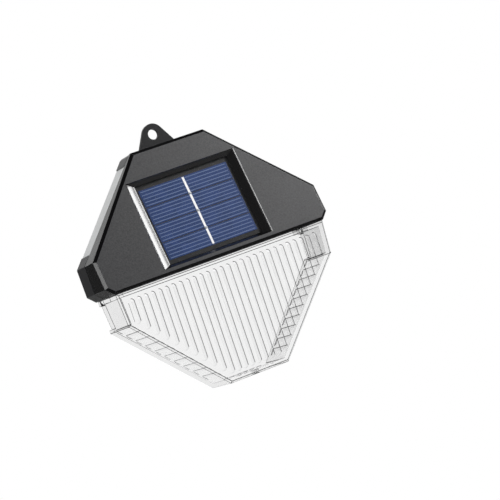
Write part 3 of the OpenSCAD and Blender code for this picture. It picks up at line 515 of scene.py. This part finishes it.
# Clear polystyrene, polished: nearly colourless where it is seen straight on. The grey where a wall turns
# away is painted shade, standing in for the darker room that bent light would show, and a wall seen along its
# length is painted pale again. It bends light far less than in life, because the photo shows the lens clean,
# and its gloss is soft and even.
clear_code, shade_grey_code, along_code = "#f2f2f2", "#dddddd", "#fafafa"
tree, clear_plastic = material("clear_polystyrene")
slant = add(tree, "LayerWeight", {"Blend": 0.5})
turn_shade = add(tree, "MapRange", {"Value": slant.outputs["Facing"], "From Min": 0.03, "From Max": 0.30},
             interpolation_type="SMOOTHSTEP")
lengthwise = add(tree, "MapRange", {"Value": slant.outputs["Facing"], "From Min": 0.6, "From Max": 0.75},
                 interpolation_type="SMOOTHSTEP")
tint = add(tree, "Mix", {0: turn_shade.outputs["Result"], 6: linear(clear_code), 7: linear(shade_grey_code)},
           data_type="RGBA")
tint = add(tree, "Mix", {0: lengthwise.outputs["Result"], 6: tint.outputs[2], 7: linear(along_code)},
           data_type="RGBA")
surface = add(tree, "BsdfPrincipled", {"Base Color": tint.outputs[2], "Roughness": 0.0, "IOR": 1.004,
                                       "Transmission Weight": 1.0, "Coat Weight": 0.6,
                                       "Coat Roughness": 0.3})
passing_shadow(tree, surface, "#f5f5f5")
# A pane of the same plastic closes the slot under the lamps.
dress(clear_plastic, "light_window")


def edge_line(name, code):
    """A line of painted shade on a moulded edge of clear plastic."""
    tree, made = material(name)
    surface = add(tree, "BsdfPrincipled", {"Base Color": linear(code), "Roughness": 0.4, "IOR": 1.3})
    passing_shadow(tree, surface, "#c4c6c6")
    return made


# Painted shade on the polystyrene's edges: thin dark lines that draw the corners and the flutes.
dark_line_shade = edge_line("polystyrene_edge_painted_shade", "#2c2d2e")
# The same painted shade on the lower left wall, where the edges are finer: pale grey lines.
pale_line_shade = edge_line("polystyrene_fine_edge_painted_shade", "#8a8c8d")

# The tray's sizes, and how far below its top and out from its middle the lines of the flutes lie.
flute_pitch = 0.00305
lens_top = -0.0568
front_depth = 0.02714
front_lean = 0.0036 / 0.0487
front_wall = 0.002
rim_lines_top, rim_lines_half = -0.003, 0.0445
flute_lines_top, flute_lines_half = -0.0025, 0.0425
heads_low = -0.008
cross_lines_top, cross_lines_low = -0.0015, -0.0485
# How near a plane an edge counts as on it, and the bends in degrees that count as an edge.
on_rim, on_front = 0.0004, 0.00035
least_bend, flute_bend, corner_bend = 12, 20, 22
# How far along Z or Y an edge must run to be upright or to cross a wall, and from what share of a flute's
# pitch it is the flute's side.
upright_from, across_from, side_from = 0.93, 0.8, 0.2


def lens_line(edge):
    """Whether an edge of the lens gets a line of painted shade: its corners, and one side and the head of
    each flute.
    """
    if len(edge.link_faces) != 2:
        return False
    bend = math.degrees(edge.calc_face_angle())
    if bend < least_bend:
        return False
    spot = (edge.verts[0].co + edge.verts[1].co) / 2
    run = (edge.verts[0].co - edge.verts[1].co).normalized()
    depth = -spot.y
    out = abs(spot.x)
    low = spot.z - lens_top
    across = spot.x / flute_pitch - 0.5
    aside = across - round(across)
    toward_middle = aside * spot.x < 0
    if depth < on_rim and low < rim_lines_top:
        return toward_middle and abs(aside) > side_from and out < rim_lines_half
    inside_front = front_depth + front_lean * low - front_wall
    if abs(depth - inside_front) < on_front and low < flute_lines_top and out < flute_lines_half:
        upright = abs(run.z) > upright_from
        return bend > flute_bend and aside > 0 and (upright or low > heads_low)
    crossing = abs(run.y) > across_from and cross_lines_low < low < cross_lines_top
    if crossing and out < flute_lines_half:
        return toward_middle
    return bend > corner_bend


# Each painted line of shade is a narrow bevel along its edge.
tray = copy_of("lens")
line_half = 0.00015
line_face, fine_face = 1, 2
bmesh.ops.bevel(tray, geom=[e for e in tray.edges if lens_line(e)], offset=line_half, offset_type="OFFSET",
                segments=1, profile=0.5, affect="EDGES", clamp_overlap=False, material=line_face)
left_wall_top = -0.0748
left_wall_back, left_wall_front = 0.0006, 0.02
for face in tray.faces:
    spot = face.calc_center_median()
    on_left_wall = spot.x < 0 and spot.z < left_wall_top and left_wall_back < -spot.y < left_wall_front
    if face.material_index == line_face and on_left_wall:
        face.material_index = fine_face
piece("lens_tray", tray, [clear_plastic, dark_line_shade, pale_line_shade], "housing", "clear_lens", "lens")


# Housing screws.
# Four pan-head screws, driven in from the back, draw the two shells together.
# Smaller ones of the same steel hold the battery's tray and the two boards.

# Zinc-plated steel: pale bluish grey with a clean metallic gloss.
screw_steel = finish("zinc_plated_steel", "#b4b6b8", "#c8cacc", grain_mm=0.3, smooth=0.22, rough=0.36,
                     relief_mm=0.004, Metallic=1.0)
dress(screw_steel, "housing_screws", "tray_screws", "board_screws", "led_board_screws")


# Battery and tray.
# A rechargeable cell in a shrunk sleeve lies between sprung contacts, in a moulded tray of black ABS that
# two screws hold to the rear cover.
dress(shaded_side_abs, "battery_tray")
# Shrunk sleeve: green plastic film, smooth and a little glossy, with slow waves.
sleeve = finish("shrunk_sleeve_plastic", "#2f6f4a", "#357a52", grain_mm=1.2, smooth=0.26, rough=0.36,
                relief_mm=0.006)
dress(sleeve, "battery_cell")
# Nickelled spring steel: a warm, bright grey metal.
nickel = finish("nickelled_spring_steel", "#bdb8ad", "#cdc9bf", grain_mm=0.25, smooth=0.20, rough=0.32,
                relief_mm=0.003, Metallic=1.0)
dress(nickel, "battery_contact", "battery_spring")


# Control board.
# A lacquered glass-epoxy board on two posts, with the charging chip, a wound inductor, a capacitor and chip
# resistors soldered to it.

# Green solder mask: a deep green with a smooth gloss.
board_green = finish("green_solder_mask", "#14532f", "#1b6339", grain_mm=0.5, smooth=0.28, rough=0.38,
                     relief_mm=0.006)
dress(board_green, "control_board")
# Moulded epoxy of the chips: a flat, dusty black.
chip_epoxy = finish("moulded_chip_epoxy", "#1b1b1c", "#242425", grain_mm=0.15, smooth=0.50, rough=0.60,
                    relief_mm=0.006)
dress(chip_epoxy, "controller_chip", "chip_resistors")
# Lacquered ferrite: a brownish dark grey with a dull shine.
ferrite = finish("lacquered_ferrite", "#3f3a36", "#4b4540", grain_mm=0.4, smooth=0.35, rough=0.50,
                 relief_mm=0.01)
dress(ferrite, "inductor")
# Capacitor sleeve: dark blue plastic film, smooth and glossy.
can_sleeve = finish("capacitor_sleeve_plastic", "#23304a", "#2a3856", grain_mm=0.6, smooth=0.25, rough=0.35,
                    relief_mm=0.004)
dress(can_sleeve, "capacitor")


# On/off button.
# A soft rubber cap in the back wall presses the plunger of a small latching switch on the board.
dress(chip_epoxy, "switch_body")
# Acetal: a warm white plastic with a waxy gloss.
plunger_white = finish("acetal_plastic", "#d8d6d0", "#e4e2dc", grain_mm=0.5, smooth=0.30, rough=0.42,
                       relief_mm=0.003)
dress(plunger_white, "switch_plunger")
# Silicone rubber of the cap: a matt dark grey, lighter than the shell round it.
button_rubber = finish("button_silicone_rubber", "#2b2b2c", "#38383a", grain_mm=0.35, smooth=0.60, rough=0.72,
                       relief_mm=0.012)
dress(button_rubber, "button_cap")


# Light board.
# A lacquered strip on two posts over the housing's floor, with four lamps that shine down into the lens.
# Two lamps of the same kind stand on the control board, one at each side window.

# White solder mask: an off-white lacquer with a smooth gloss.
board_white = finish("white_solder_mask", "#dcdcd8", "#e9e9e5", grain_mm=0.5, smooth=0.30, rough=0.42,
                     relief_mm=0.006)
dress(board_white, "led_board")
# Phosphor resin over the lamps' chips: yellow and slightly glossy while the lamp is off.
phosphor = finish("led_phosphor_resin", "#d9c65a", "#e4d36e", grain_mm=0.3, smooth=0.25, rough=0.35,
                  relief_mm=0.004)
dress(phosphor, "leds", "side_leds")


# Leads.
# Thin stranded copper wires in plastic sleeves, soldered at both ends.
# They join the panel, the battery and the two boards.

# Red sleeve: a plain deep red with a soft gloss.
lead_red = finish("red_wire_sleeve", "#a3201d", "#b42a26", grain_mm=0.5, smooth=0.35, rough=0.45,
                  relief_mm=0.006)
dress(lead_red, "panel_lead_red", "battery_lead_red", "led_lead_red")
# Black sleeve: a plain black with the same soft gloss.
lead_black = finish("black_wire_sleeve", "#161617", "#1e1e1f", grain_mm=0.5, smooth=0.35, rough=0.45,
                    relief_mm=0.006)
dress(lead_black, "panel_lead_black", "battery_lead_black", "led_lead_black")
